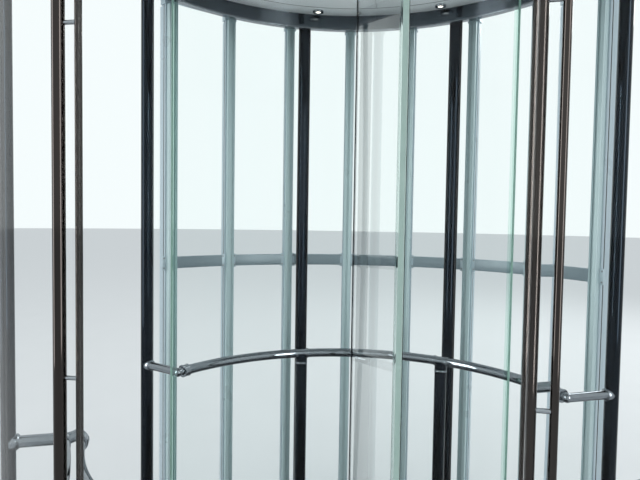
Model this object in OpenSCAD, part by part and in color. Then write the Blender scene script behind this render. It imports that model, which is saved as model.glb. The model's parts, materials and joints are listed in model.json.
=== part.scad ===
// Three-wing revolving door in a round glass drum, with guard rails inside its two curved walls.
// The origin is on the floor at the rotor's axis. +Z is up, and the passage runs along X.
// Angles are counted from +Y, anticlockwise seen from above.

/* [Drum] */
// Radius of the circle that the dark posts stand on
post_ring_r = 1080; // [1000:10:1400]
// Diameter of a dark post
post_d = 52; // [40:1:60]
// Height of the ceiling's underside above the floor
ceiling_z = 2680; // [2300:10:2800]
// Angle of the middle posts to either side of a wall's centre
inner_post_a = 21; // [16:1:26]
// Angle of the jamb posts to either side of a wall's centre
jamb_a = 66; // [60:1:68]
// Thickness of the curved glass
pane_t = 10; // [8:1:12]

/* [Screen outside the posts] */
// Distance from the circle of posts out to the circle of light mullions
screen_gap = 120; // [100:5:160]
// Width of a mullion, seen from the middle of the door
mullion_w = 50; // [30:1:60]
// Depth of a mullion, outwards
mullion_t = 30; // [20:1:40]
// Angle from one mullion to the next
mullion_step = 16; // [14:0.5:16.5]
// Height of the middle of the cross bar
transom_z = 1395; // [1000:5:1600]
// Height of the cross bar's face
transom_h = 55; // [40:1:80]

/* [Guard rail] */
// Height of the rail's centre line
rail_z = 950; // [850:10:1050]
// Distance from the circle of posts in to the rail's centre line
rail_inset = 210; // [170:5:230]
// Diameter of the rail's tube
rail_d = 43; // [38:1:46]
// Angle from a jamb post back to the rail's end
rail_end_gap = 2.5; // [1:0.5:8]
// Diameter of a leg under the rail
leg_d = 56; // [50:1:60]
// Angle of the legs to either side of the wall's centre
leg_a = 23; // [16:1:30]

/* [Ring and canopy] */
// Clearance between the dark ring under the ceiling and the posts
band_gap = 4; // [1:0.5:20]
// Height of the dark ring
band_h = 70; // [50:1:100]
// Height of the canopy above the ceiling
canopy_h = 300; // [200:10:400]
// How far the canopy and the sill reach beyond the screen
canopy_over = 35; // [20:5:80]

/* [Rotor] */
// Clearance between a wing's free edge and the legs of the guard rails
wing_gap = 22; // [10:1:60]
// Thickness of a wing's glass
wing_t = 12; // [10:1:15]
// Angle of the first wing
wing_a0 = 72; // [0:1:119]
// Diameter of the joint strip where the wings meet
joint_d = 16; // [15:1:30]
// Diameter of the clamping hubs
hub_d = 120; // [100:5:140]

/* [Hidden] */
$fn = 96;
// Long arcs are drawn more finely than small rounds
long_arc_fn = 360;

// Keeps the bays' cross bars a little apart from their neighbours
bay_joint = 0.2;
// Uprights in each side bay of the screen
side_uprights = 3;

// Radii that follow the circle of posts
post_face_in = post_ring_r - post_d / 2;
post_face_out = post_ring_r + post_d / 2;
screen_r = post_ring_r + screen_gap;
canopy_r = screen_r + mullion_t / 2 + canopy_over;
rail_r = post_ring_r - rail_inset;
wing_r = rail_r - leg_d / 2 - wing_gap;
band_r = post_face_in - band_gap;
// How far the sill reaches inwards past the posts
sill_in = 24;
sill_in_r = post_face_in - sill_in;
// How far the ceiling's sheet reaches outwards past the posts
ceiling_lap = 14;
ceiling_r = post_face_out + ceiling_lap;

// Heights of the floor pieces
floor_t = 15;
sill_t = 20;
// The sill's low outer edge and the flat strip between the ramp and the screen
sill_edge_h = 6;
sill_flat_over = 5;
// The front wall is the back wall turned half round
front_a = 180;
rail_end_a = jamb_a - rail_end_gap;
mid_bay_a = (inner_post_a + jamb_a) / 2;
side_bay_span = jamb_a - inner_post_a;
mid_bay_span = 2 * inner_post_a;
wall_h = ceiling_z - sill_t;
// Turned shoe at the foot of each post
shoe_over = 9;
shoe_h = 10;
shoe_step_over = 4;
shoe_step_h = 8;
// Chamfers along a mullion and the groove for its seal
mullion_edge = 2;
seal_groove_w = 6;
seal_groove_d = 3;
// Shoes at a mullion's foot and head
mullion_shoe_over = 6;
mullion_shoe_h = 40;
// Beads that hold the curved glass at the sill and at the ceiling, on both faces
bead_t = 12;
bead_h = 40;
plate_t = 20;
fascia_t = 20;
// Shadow gaps round the canopy
fascia_gap_h = 8;
fascia_gap_d = 5;
fascia_gap_in = 38;
roof_t = 15;
roof_overhang = 15;
roof_r = canopy_r + roof_overhang;
roof_z = ceiling_z + plate_t + canopy_h;
// The roof's sloping rim and the drip edge below it
roof_rim_w = 90;
roof_rim_drop = 7;
drip_t = 5;
drip_h = 14;
lip_h = 8;
lip_w = 32;
band_w = 20;
// The small step along the ring's lower edge
band_step_w = 5;
band_step_h = 14;
light_d = 44;
light_h = 6;
light_count = 10;
light_gap = 11;
light_fn = 32;
light_ring_r = band_r - lip_w - light_gap - light_d / 2;
collar_d = rail_d + 10;
collar_l = 26;
arm_d = rail_d - 7;
elbow_out = 38;
// Room for the rail's curve in a straight saddle
saddle_gap = 1.2;
foot_d = 110;
foot_t = 8;
foot_neck_over = 8;
foot_neck_h = 22;
pin_d = 30;
bore_d = pin_d + 0.15;
bearing_d = 150;
bearing_h = 20;
top_bearing_h = 60;
// The bearings' flanges, and what they stand out beyond the bearings' bodies
flange_h = 8;
flange_over = 14;
hub_gap = 10;
top_hub_gap = 30;
hub_h = 65;
hub_z = floor_t + bearing_h + hub_gap;
top_hub_top = ceiling_z - top_bearing_h - top_hub_gap;
// How far the pins stop short of the floor and the ceiling
pin_lift = 1;
pin_drop = 5;
// How far a pin is rooted in its hub
pin_root = 1;
// How deep the hubs hold the glass at its lower and upper edge
slot_inset = 15;
slot_z = hub_z + slot_inset;
wing_top = top_hub_top - slot_inset;
// Clamping plates on both faces of each wing, next to the hubs
clamp_l = 165;
clamp_t = 12;
clamp_h = hub_h - slot_inset;
clamp_corner = 12;
clamp_gap = 0.3;
// The joint strip is a little longer than the glass
strip_over = 5;

// The three bays of a wall: the angle of each one's middle, and its span
bays = [[mid_bay_a, side_bay_span], [0, mid_bay_span], [-mid_bay_a, side_bay_span]];

// The right half of a mullion's section, from its inner face to its outer face
mullion_side = [
    [mullion_w / 2 - mullion_edge, -mullion_t / 2],
    [mullion_w / 2, -mullion_t / 2 + mullion_edge],
    [mullion_w / 2, -seal_groove_w / 2],
    [mullion_w / 2 - seal_groove_d, -seal_groove_w / 2],
    [mullion_w / 2 - seal_groove_d, seal_groove_w / 2],
    [mullion_w / 2, seal_groove_w / 2],
    [mullion_w / 2, mullion_t / 2 - mullion_edge],
    [mullion_w / 2 - mullion_edge, mullion_t / 2]];
last_corner = len(mullion_side) - 1;
mullion_other_side = [for (i = [last_corner : -1 : 0]) [-mullion_side[i][0], mullion_side[i][1]]];

steel_dark = "#1b2026";
chrome = "#c9cdd0";
glass_green = "#9fd0c4";
aluminium = "#a9b3b0";
panel_grey = "#8d9296";

// Puts its children on the +Y axis at radius r and turns them by a
module at(a, r) {
    rotate([0, 0, a])
        translate([0, r, 0])
            children();
}

// A flat-topped arc from r_in to r_out, centred on the angle a
module arc(a, span, r_in, r_out, z, h) {
    translate([0, 0, z])
        rotate([0, 0, 90 + a - span / 2])
            rotate_extrude(angle = span, $fn = long_arc_fn)
                translate([r_in, 0])
                    square([r_out - r_in, h]);
}

// A whole ring
module ring(r_in, r_out, z, h) {
    translate([0, 0, z])
        difference() {
            cylinder(r = r_out, h = h);
            translate([0, 0, -1])
                cylinder(r = r_in, h = h + 2);
        }
}

// A round post with its turned shoe. It is also what the glass beside it is cut with.
module post_body() {
    cylinder(d = post_d, h = wall_h);
    cylinder(d = post_d + 2 * shoe_over, h = shoe_h);
    cylinder(d = post_d + 2 * shoe_step_over, h = shoe_h + shoe_step_h);
}

module post(a) {
    color(steel_dark)
        at(a, post_ring_r)
            translate([0, 0, sill_t])
                post_body();
}

// What the posts on both sides of a bay take away from the pieces between them
module bay_posts(a, span) {
    for (side = [-1, 1])
        at(a + side * span / 2, post_ring_r) {
            translate([0, 0, sill_t])
                post_body();
            translate([0, 0, sill_t - 1])
                cylinder(d = post_d, h = wall_h + 2);
        }
}

// Curved glass that ends on the round faces of the two posts beside it
module pane(a, span) {
    color(glass_green, 0.35)
        difference() {
            arc(a, span, post_ring_r - pane_t / 2, post_ring_r + pane_t / 2, sill_t, wall_h);
            bay_posts(a, span);
        }
}

// The beads along the lower and upper edge of a wall's glass
module beads(wall_a) {
    color(steel_dark)
        for (bay = bays)
            difference() {
                for (r = [post_ring_r - pane_t / 2 - bead_t, post_ring_r + pane_t / 2])
                    for (z = [sill_t, ceiling_z - bead_h])
                        arc(wall_a + bay[0], bay[1], r, r + bead_t, z, bead_h);
                bay_posts(wall_a + bay[0], bay[1]);
            }
}

// One upright of the light screen
module mullion(a) {
    shoe_w = mullion_w + 2 * mullion_shoe_over;
    shoe_d = mullion_t + 2 * mullion_shoe_over;
    at(a, screen_r)
        translate([0, 0, sill_t]) {
            linear_extrude(wall_h)
                polygon(concat(mullion_side, mullion_other_side));
            for (z = [0, wall_h - mullion_shoe_h])
                translate([-shoe_w / 2, -shoe_d / 2, z])
                    cube([shoe_w, shoe_d, mullion_shoe_h]);
        }
}

// One bay of the screen: uprights at the given angles, joined by the cross bar from from_a to to_a
module screen(from_a, to_a, uprights) {
    color(aluminium) {
        for (u = uprights)
            mullion(u);
        arc((from_a + to_a) / 2, abs(to_a - from_a), screen_r - mullion_t / 2, screen_r + mullion_t / 2,
            transom_z - transom_h / 2, transom_h);
    }
}

// The uprights stand half a step to either side of the wall's centre, and then one step apart
module middle_screen() {
    end_a = inner_post_a - bay_joint / 2;
    screen(-end_a, end_a, [-mullion_step / 2, mullion_step / 2]);
}

// The cross bar of a side bay ends inside the last upright
module side_screen(side) {
    start_a = inner_post_a + bay_joint / 2;
    last_a = (side_uprights + 0.5) * mullion_step;
    screen(side * start_a, side * last_a, [for (i = [1 : side_uprights]) side * (i + 0.5) * mullion_step]);
}

module rail_tube(a) {
    translate([0, 0, rail_z])
        rotate([0, 0, 90 + a - rail_end_a])
            rotate_extrude(angle = 2 * rail_end_a, $fn = long_arc_fn)
                translate([rail_r, 0])
                    circle(d = rail_d);
}

// A collar and a bent arm that goes back from the rail's end to the jamb post.
// Here the rail's end lies at the origin, with the wall behind it along +Y.
module rail_end(side) {
    tip_x = -side * elbow_out;
    post_x = -side * post_ring_r * sin(jamb_a - rail_end_a);
    post_y = post_ring_r * cos(jamb_a - rail_end_a) - rail_r;
    rotate([0, -90 * side, 0])
        translate([0, 0, -collar_l / 2])
            cylinder(d = collar_d, h = collar_l);
    rotate([0, -90 * side, 0])
        cylinder(d = arm_d, h = elbow_out);
    translate([tip_x, 0, 0]) {
        sphere(d = arm_d + 3);
        rotate([-90, 0, atan2(tip_x - post_x, post_y)])
            cylinder(d = arm_d, h = norm([post_x - tip_x, post_y]));
    }
}

// The rail, with its two ends held by the jamb posts
module rail(a) {
    color(chrome)
        difference() {
            union() {
                rail_tube(a);
                for (side = [-1, 1])
                    at(a + side * rail_end_a, rail_r)
                        translate([0, 0, rail_z])
                            rail_end(side);
            }
            for (side = [-1, 1])
                at(a + side * jamb_a, post_ring_r)
                    cylinder(d = post_d, h = ceiling_z);
        }
}

// Two legs stand near the middle posts and hold the rail in round saddles
module rail_legs(a) {
    color(steel_dark)
        for (side = [-1, 1])
            at(a + side * leg_a, rail_r)
                difference() {
                    translate([0, 0, floor_t]) {
                        cylinder(d = leg_d, h = rail_z - floor_t);
                        cylinder(d = foot_d, h = foot_t);
                        cylinder(d = leg_d + 2 * foot_neck_over, h = foot_neck_h);
                    }
                    translate([-leg_d, 0, rail_z])
                        rotate([0, 90, 0])
                            cylinder(d = rail_d + saddle_gap, h = 2 * leg_d);
                }
}

module floor_plate() {
    color(panel_grey)
        cylinder(r = sill_in_r, h = floor_t);
}

// A ring that is turned from the section given, with x counted from the axis
module turned(z, section) {
    translate([0, 0, z])
        rotate_extrude($fn = long_arc_fn)
            polygon(section);
}

// The sill is flat under the posts and the screen, and slopes down to a low edge on the outside
module sill_ring() {
    color(steel_dark)
        turned(0, [
            [sill_in_r, 0],
            [canopy_r, 0],
            [canopy_r, sill_edge_h],
            [screen_r + mullion_t / 2 + sill_flat_over, sill_t],
            [sill_in_r, sill_t]]);
}

module ring_band() {
    color(steel_dark)
        turned(ceiling_z - band_h, [
            [band_r - band_w, 0],
            [band_r, 0],
            [band_r, band_h],
            [band_r - band_w + band_step_w, band_h],
            [band_r - band_w + band_step_w, band_step_h],
            [band_r - band_w, band_step_h]]);
}

// A flat lip with a half-round nose that points inwards
module ring_lip() {
    color(chrome)
        translate([0, 0, ceiling_z - band_h - lip_h])
            rotate_extrude($fn = long_arc_fn) {
                translate([band_r - lip_w + lip_h / 2, 0])
                    square([lip_w - lip_h / 2, lip_h]);
                translate([band_r - lip_w + lip_h / 2, lip_h / 2])
                    circle(d = lip_h, $fn = light_fn);
            }
}

module ceiling() {
    color(chrome)
        translate([0, 0, ceiling_z])
            cylinder(r = ceiling_r, h = plate_t);
}

module ceiling_lights() {
    color("white")
        for (i = [0 : light_count - 1])
            at((i + 0.5) * 360 / light_count, light_ring_r)
                translate([0, 0, ceiling_z - light_h])
                    cylinder(d = light_d, h = light_h, $fn = light_fn);
}

module head_ring() {
    color(aluminium)
        ring(ceiling_r, canopy_r, ceiling_z, plate_t);
}

// The canopy's wall, with a shadow gap near its lower and its upper edge
module canopy_fascia() {
    in_r = canopy_r - fascia_t;
    gap_r = canopy_r - fascia_gap_d;
    upper = canopy_h - fascia_gap_in;
    color(steel_dark)
        turned(ceiling_z + plate_t, [
            [in_r, 0],
            [canopy_r, 0],
            [canopy_r, fascia_gap_in - fascia_gap_h],
            [gap_r, fascia_gap_in - fascia_gap_h],
            [gap_r, fascia_gap_in],
            [canopy_r, fascia_gap_in],
            [canopy_r, upper],
            [gap_r, upper],
            [gap_r, upper + fascia_gap_h],
            [canopy_r, upper + fascia_gap_h],
            [canopy_r, canopy_h],
            [in_r, canopy_h]]);
}

// A flat roof with a sloping rim
module roof() {
    color(panel_grey)
        turned(roof_z, [
            [0, 0],
            [roof_r, 0],
            [roof_r, roof_t - roof_rim_drop],
            [roof_r - roof_rim_w, roof_t],
            [0, roof_t]]);
}

// The drip edge under the roof's rim, clear of the canopy's wall
module roof_drip() {
    color(steel_dark)
        ring(roof_r - drip_t, roof_r, roof_z - drip_h, drip_h);
}

// A flanged bearing that is bored for a hub's pin
module bearing(h, flange_z) {
    color(chrome)
        difference() {
            union() {
                cylinder(d = bearing_d, h = h);
                translate([0, 0, flange_z])
                    cylinder(d = bearing_d + 2 * flange_over, h = flange_h);
            }
            translate([0, 0, -1])
                cylinder(d = bore_d, h = h + 2);
        }
}

module floor_bearing() {
    translate([0, 0, floor_t])
        bearing(bearing_h, 0);
}

module ceiling_bearing() {
    translate([0, 0, ceiling_z - top_bearing_h])
        bearing(top_bearing_h, top_bearing_h - flange_h);
}

function wing_angle(i) = wing_a0 + i * 120;

// The glass of one wing, hollowed at the axis to fit the joint strip
module wing(i) {
    color(glass_green, 0.35)
        difference() {
            rotate([0, 0, wing_angle(i)])
                translate([-wing_t / 2, 0, slot_z])
                    cube([wing_t, wing_r, wing_top - slot_z]);
            translate([0, 0, slot_z - 1])
                cylinder(d = joint_d, h = wing_top - slot_z + 2);
        }
}

// What the hubs are cut with: three glass slots and the joint strip's bore
module wing_slots() {
    for (i = [0 : 2])
        rotate([0, 0, wing_angle(i)])
            translate([-wing_t / 2, 0, slot_z])
                cube([wing_t, hub_d, wing_top - slot_z]);
    translate([0, 0, slot_z - strip_over])
        cylinder(d = joint_d, h = wing_top - slot_z + 2 * strip_over);
}

module bottom_hub() {
    color(steel_dark)
        difference() {
            union() {
                translate([0, 0, hub_z])
                    cylinder(d = hub_d, h = hub_h);
                translate([0, 0, floor_t + pin_lift])
                    cylinder(d = pin_d, h = hub_z + pin_root - floor_t - pin_lift);
            }
            wing_slots();
        }
}

module top_hub() {
    color(steel_dark)
        difference() {
            union() {
                translate([0, 0, top_hub_top - hub_h])
                    cylinder(d = hub_d, h = hub_h);
                translate([0, 0, top_hub_top - pin_root])
                    cylinder(d = pin_d, h = ceiling_z - pin_drop - top_hub_top + pin_root);
            }
            wing_slots();
        }
}

// A plate with two round corners at its free end. It lies on a wing's face and ends on the hub.
module clamp_plate() {
    end_y = hub_d / 2 + clamp_l - clamp_corner;
    cube([clamp_t, end_y, clamp_h]);
    translate([0, end_y, clamp_corner])
        cube([clamp_t, clamp_corner, clamp_h - 2 * clamp_corner]);
    for (z = [clamp_corner, clamp_h - clamp_corner])
        translate([0, end_y, z])
            rotate([0, 90, 0])
                cylinder(r = clamp_corner, h = clamp_t);
}

// One plate on each face of each wing, at the height z
module clamps(z) {
    color(steel_dark)
        for (i = [0 : 2])
            for (side = [0, 1])
                difference() {
                    rotate([0, 0, wing_angle(i)])
                        translate([side * wing_t / 2 - (1 - side) * (wing_t / 2 + clamp_t), 0, z])
                            clamp_plate();
                    translate([0, 0, z - 1])
                        cylinder(d = hub_d + 2 * clamp_gap, h = clamp_h + 2);
                }
}

module joint_strip() {
    color(steel_dark)
        translate([0, 0, slot_z - strip_over])
            cylinder(d = joint_d, h = wing_top - slot_z + 2 * strip_over);
}

floor_plate();
sill_ring();
post(jamb_a);  // back_left_jamb_post
post(inner_post_a);  // back_left_post
post(-inner_post_a);  // back_right_post
post(-jamb_a);  // back_right_jamb_post
post(front_a - jamb_a);  // front_left_jamb_post
post(front_a - inner_post_a);  // front_left_post
post(front_a + inner_post_a);  // front_right_post
post(front_a + jamb_a);  // front_right_jamb_post
pane(mid_bay_a, side_bay_span);  // back_left_pane
pane(0, mid_bay_span);  // back_middle_pane
pane(-mid_bay_a, side_bay_span);  // back_right_pane
pane(front_a - mid_bay_a, side_bay_span);  // front_left_pane
pane(front_a, mid_bay_span);  // front_middle_pane
pane(front_a + mid_bay_a, side_bay_span);  // front_right_pane
side_screen(1);  // back_left_screen
middle_screen();  // back_middle_screen
side_screen(-1);  // back_right_screen
beads(0);  // back_beads
beads(front_a);  // front_beads
rail(0);  // back_rail
rail_legs(0);  // back_rail_legs
rail(front_a);  // front_rail
rail_legs(front_a);  // front_rail_legs
ring_band();
ring_lip();
ceiling();
ceiling_lights();
head_ring();
canopy_fascia();
roof();
roof_drip();
floor_bearing();
ceiling_bearing();
bottom_hub();
top_hub();
joint_strip();
clamps(slot_z);  // bottom_clamps
clamps(wing_top - clamp_h);  // top_clamps
wing(0);  // wing_a
wing(1);  // wing_b
wing(2);  // wing_c
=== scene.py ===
"""Dresses a revolving door in a round glass drum: its finishes, trims, seals and the studio setting."""
import json
import math

import bpy
from mathutils import Matrix, Vector

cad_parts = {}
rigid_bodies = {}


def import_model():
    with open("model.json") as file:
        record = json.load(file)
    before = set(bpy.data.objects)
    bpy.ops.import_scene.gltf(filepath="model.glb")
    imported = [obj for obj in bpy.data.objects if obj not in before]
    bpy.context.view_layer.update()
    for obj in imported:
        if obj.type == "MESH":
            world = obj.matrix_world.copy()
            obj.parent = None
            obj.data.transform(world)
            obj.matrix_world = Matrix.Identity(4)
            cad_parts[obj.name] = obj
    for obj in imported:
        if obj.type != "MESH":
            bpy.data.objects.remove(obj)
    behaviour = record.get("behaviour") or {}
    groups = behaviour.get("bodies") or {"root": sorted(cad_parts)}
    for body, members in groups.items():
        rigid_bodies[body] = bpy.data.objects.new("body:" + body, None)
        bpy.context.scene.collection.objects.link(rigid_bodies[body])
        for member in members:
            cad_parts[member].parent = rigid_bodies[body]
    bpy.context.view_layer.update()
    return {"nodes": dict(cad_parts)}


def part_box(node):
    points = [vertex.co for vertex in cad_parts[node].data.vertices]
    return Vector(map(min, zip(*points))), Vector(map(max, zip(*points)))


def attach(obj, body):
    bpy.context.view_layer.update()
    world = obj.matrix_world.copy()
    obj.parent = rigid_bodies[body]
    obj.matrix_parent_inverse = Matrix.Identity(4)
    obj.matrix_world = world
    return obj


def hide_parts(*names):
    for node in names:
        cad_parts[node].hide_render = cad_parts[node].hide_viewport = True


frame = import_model()
nodes = frame["nodes"]


# Sizes in metres, from the frame's boxes or, where those don't show them, as in the part's source

def middle(node):
    """The middle of a CAD node's box."""
    low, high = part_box(node)
    return Vector([(low[i] + high[i]) / 2 for i in range(3)])


def angle_of(place):
    """The angle of a place round the door's axis, in degrees from +Y, anticlockwise seen from above."""
    return math.degrees(math.atan2(-place[0], place[1]))


FRONT = 180.0
WALLS = (("back", 0.0), ("front", FRONT))
FLOOR_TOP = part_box("floor_plate")[1][2]
FLOOR_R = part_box("floor_plate")[1][0]
SILL_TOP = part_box("sill_ring")[1][2]
DRUM_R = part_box("sill_ring")[1][0]
CEILING_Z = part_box("ceiling")[0][2]
BAND_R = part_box("ring_band")[1][0]
BAND_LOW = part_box("ring_band")[0][2]
CANOPY_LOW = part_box("canopy_fascia")[0][2]
CANOPY_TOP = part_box("canopy_fascia")[1][2]
ROOF_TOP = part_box("roof")[1][2]
ROOF_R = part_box("roof")[1][0]
WALL_H = CEILING_Z - SILL_TOP

POST_MID = middle("back_left_post")
POST_RING_R = math.hypot(POST_MID.x, POST_MID.y)
SHOE_R = (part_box("back_left_post")[1][0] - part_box("back_left_post")[0][0]) / 2
SHOE_OUT = 0.009
SHOE_H = 0.010
SHOE_STEP_H = 0.018
POST_R = SHOE_R - SHOE_OUT
POST_A = angle_of(POST_MID)
JAMB_A = angle_of(middle("back_left_jamb_post"))
BEAD_H = 0.04
BEAD_FACE = 0.0175
PANE_T = 0.010
BAYS = [(turn + a, turn + b) for _, turn in WALLS
        for a, b in ((-JAMB_A, -POST_A), (-POST_A, POST_A), (POST_A, JAMB_A))]
ROUND_POSTS = [JAMB_A, POST_A, -POST_A, -JAMB_A, FRONT + JAMB_A, FRONT - JAMB_A]
TWIN_POSTS = (("front_left_post", FRONT - POST_A, 1), ("front_right_post", FRONT + POST_A, -1))
TWIN_ANGLES = [angle for _, angle, _ in TWIN_POSTS]

RAIL_Z = middle("back_rail").z
RAIL_TUBE_R = 0.0215
RAIL_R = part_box("back_rail")[1][1] - RAIL_TUBE_R
RAIL_END_BACK_A = 2.5
RAIL_END_A = JAMB_A - RAIL_END_BACK_A
LEG_A = 23.0
LEG_R = 0.028
ELBOW_OUT = 0.038

SCREEN_R = 1.2
MULLION_COUNT = 8
MULLION_STEP = 16.0
MULLION_T = 0.03
MULLION_SHOE_H = 0.04
MULLION_SHOE_OUT = 0.006
MULLION_ANGLES = [(i + 0.5) * MULLION_STEP for i in range(-MULLION_COUNT // 2, MULLION_COUNT // 2)]
BAR_Z = 1.395
BAR_H = 0.055

HUB_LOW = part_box("bottom_hub")
HUB_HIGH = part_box("top_hub")
WING_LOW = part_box("wing_a")[0][2]
WING_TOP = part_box("wing_a")[1][2]
WING_R = 0.82
WING_START_A = 72.0
WING_STEP = 120.0
WING_ANGLES = [WING_START_A + i * WING_STEP for i in range(3)]
WING_HALF_T = 0.006
CLAMP_T = 0.012
CLAMP_H = 0.05
CLAMP_END = 0.225


# Working on one object, as at the bench

def deselect():
    """Leaves nothing selected."""
    bpy.ops.object.select_all(action="DESELECT")


def pick(obj):
    """Selects only this object and makes it the active one."""
    deselect()
    obj.select_set(True)
    bpy.context.view_layer.objects.active = obj


def work(obj, *steps):
    """Runs edit-mode steps with the whole mesh selected."""
    pick(obj)
    bpy.ops.object.mode_set(mode="EDIT")
    bpy.ops.mesh.select_all(action="SELECT")
    for step in steps:
        step()
    bpy.ops.object.mode_set(mode="OBJECT")
    return obj


def work_on_faces(obj, wanted, *steps):
    """Runs edit-mode steps on the faces that the test picks by their normal."""
    pick(obj)
    bpy.ops.object.mode_set(mode="EDIT")
    bpy.ops.mesh.select_mode(type="FACE")
    bpy.ops.mesh.select_all(action="DESELECT")
    bpy.ops.object.mode_set(mode="OBJECT")
    for face in obj.data.polygons:
        face.select = wanted(face.normal)
    bpy.ops.object.mode_set(mode="EDIT")
    for step in steps:
        step()
    bpy.ops.mesh.select_mode(type="VERT")
    bpy.ops.object.mode_set(mode="OBJECT")
    return obj


def cut_to(obj, cutter):
    """Keeps only what lies inside the cutter, which is used up."""
    pick(obj)
    trim = obj.modifiers.new("cut", "BOOLEAN")
    trim.operation = "INTERSECT"
    trim.solver = "EXACT"
    trim.object = cutter
    bpy.ops.object.modifier_apply(modifier=trim.name)
    bpy.data.objects.remove(cutter)
    return obj


# Where copies go. A model is made at the origin with its top or its length along +Z.

UPRIGHT = Matrix.Identity(4)
OUTWARDS = Matrix.Rotation(math.radians(-90), 4, "X")
INWARDS = Matrix.Rotation(math.radians(90), 4, "X")
SIDEWAYS = Matrix.Rotation(math.radians(90), 4, "Y")
OTHER_SIDE = Matrix.Rotation(math.radians(-90), 4, "Y")


def spot(angle, radius, z=0.0, offset=0.0, facing=UPRIGHT):
    """A place at an angle and a radius round the axis, moved sideways by the offset, with its facing."""
    turn = Matrix.Rotation(math.radians(angle), 4, "Z")
    return turn @ Matrix.Translation((offset, radius, z)) @ facing


def point(angle, radius, z=0.0, offset=0.0):
    """The same place as a point."""
    return spot(angle, radius, z, offset).translation


def aimed(place, direction):
    """A place with the model's top turned along the direction."""
    turn = Vector((0, 0, 1)).rotation_difference(Vector(direction))
    return Matrix.Translation(place) @ turn.to_matrix().to_4x4()


def copies(model, spots):
    """Copies of one model, each with a mesh of its own. The model is used up."""
    made = []
    for where in spots:
        twin = model.copy()
        twin.data = model.data.copy()
        bpy.context.collection.objects.link(twin)
        twin.matrix_world = where
        made.append(twin)
    mesh = model.data
    bpy.data.objects.remove(model)
    bpy.data.meshes.remove(mesh)
    return made


def joined(objs):
    """One object of several, with its place in its mesh."""
    deselect()
    for obj in objs:
        obj.select_set(True)
    bpy.context.view_layer.objects.active = objs[0]
    if len(objs) > 1:
        bpy.ops.object.join()
    whole = bpy.context.view_layer.objects.active
    pick(whole)
    bpy.ops.object.transform_apply(location=True, rotation=True, scale=True)
    return whole


SMOOTH_A = 35


def finish_piece(objs, name, body, material):
    """Joins the objects into one piece, and gives it its name, body, slot and material."""
    piece = joined(list(objs))
    piece.name = name
    piece.data.name = name
    bpy.ops.object.shade_smooth_by_angle(angle=math.radians(SMOOTH_A))
    piece.data.materials.clear()
    piece.data.materials.append(material)
    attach(piece, body)
    return piece


# The shapes that the pieces start from

FINE_SIDES = 64
COLLAR_SIDES = 48
TUBE_SIDES = 40
PLAIN_SIDES = 32
SMALL_SIDES = 20
BEVEL_STEPS = 2
EDGE_SHARE = 0.3
STRAIGHT = 0.9
FULL_TURN = 360
ARC_STEP = 2.5
MERGE_WITHIN = 1e-5
HAIR_EDGE = 0.0004
THIN_EDGE = 0.0008
FINE_EDGE = 0.001
SOFT_EDGE = 0.0015
ROUND_EDGE = 0.002
FULL_EDGE = 0.003


def turned(outline, sides=PLAIN_SIDES):
    """A round piece turned to an outline of (radius, height) steps, from its foot to its top."""
    radius, height = outline[0]
    deselect()
    bpy.ops.mesh.primitive_circle_add(vertices=sides, radius=radius, fill_type="NGON",
                                      location=(0, 0, height))
    obj = bpy.context.active_object
    bpy.ops.object.transform_apply(location=True, rotation=False, scale=False)
    bpy.ops.object.mode_set(mode="EDIT")
    bpy.ops.mesh.select_all(action="SELECT")
    for next_radius, next_height in outline[1:]:
        bpy.ops.mesh.extrude_region_move(TRANSFORM_OT_translate={"value": (0, 0, next_height - height)})
        ratio = next_radius / radius
        bpy.ops.transform.resize(value=(ratio, ratio, 1), center_override=(0, 0, next_height))
        radius, height = next_radius, next_height
    bpy.ops.mesh.select_all(action="SELECT")
    bpy.ops.mesh.normals_make_consistent(inside=False)
    bpy.ops.object.mode_set(mode="OBJECT")
    return obj


def disc(radius, height, rounding, foot=0.0, sides=PLAIN_SIDES):
    """A turned disc with a rounded upper and lower edge."""
    soft = rounding * EDGE_SHARE
    top = foot + height
    return turned([(radius - rounding, foot), (radius - soft, foot + soft), (radius, foot + rounding),
                   (radius, top - rounding), (radius - soft, top - soft), (radius - rounding, top)], sides)


def bar(width, depth, length, rounding, ends=0.0):
    """A bar along +Z with rounded long edges, and with rounded ends where ends is more than nothing."""
    deselect()
    bpy.ops.mesh.primitive_plane_add(size=1)
    obj = bpy.context.active_object
    obj.scale = (width, depth, 1)
    bpy.ops.object.transform_apply(location=False, rotation=False, scale=True)
    work(obj, lambda: bpy.ops.mesh.bevel(offset=rounding, segments=BEVEL_STEPS, affect="VERTICES"),
         lambda: bpy.ops.mesh.extrude_region_move(TRANSFORM_OT_translate={"value": (0, 0, length)}))
    work(obj, lambda: bpy.ops.mesh.normals_make_consistent(inside=False))
    if ends:
        work_on_faces(obj, lambda normal: abs(normal.z) > STRAIGHT,
                      lambda: bpy.ops.mesh.bevel(offset=ends, segments=BEVEL_STEPS, affect="EDGES"))
    return obj


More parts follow.
